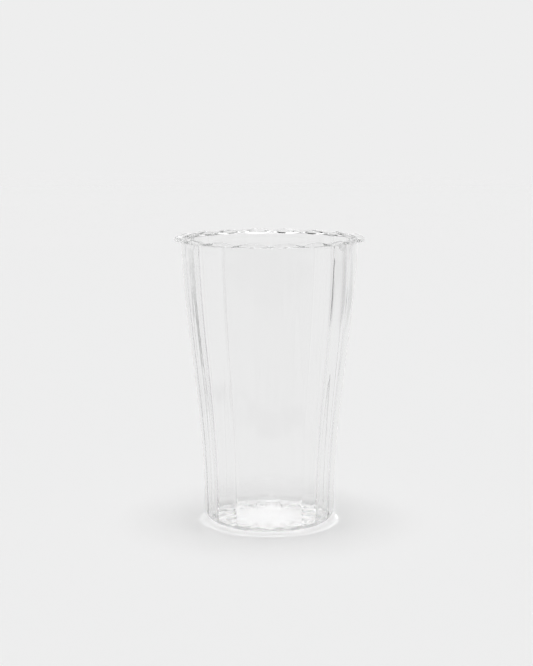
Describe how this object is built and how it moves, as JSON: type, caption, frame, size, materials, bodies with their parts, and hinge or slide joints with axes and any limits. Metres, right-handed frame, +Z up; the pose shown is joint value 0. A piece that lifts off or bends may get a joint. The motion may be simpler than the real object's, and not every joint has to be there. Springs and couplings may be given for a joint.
{
  "type": "drinking glass",
  "caption": "Clear fluted glass tumbler with a tapering scalloped wall, a flared ruffled lip and a round flat base.",
  "frame": {"origin": "middle of the flat underside, on the surface that the tumbler stands on", "axes": "+Z up along the axis of the tumbler, towards the mouth; a flute's crest lies on -Y and on +Y"},
  "size_m": [0.0896, 0.0906, 0.1368],
  "materials": {
    "clear_glass": "polished, colourless with a faint grey-green edge"
  },
  "bodies": {
    "root": {"fluted_tube": "clear_glass", "bottom_plate": "clear_glass"}
  },
  "joints": []
}
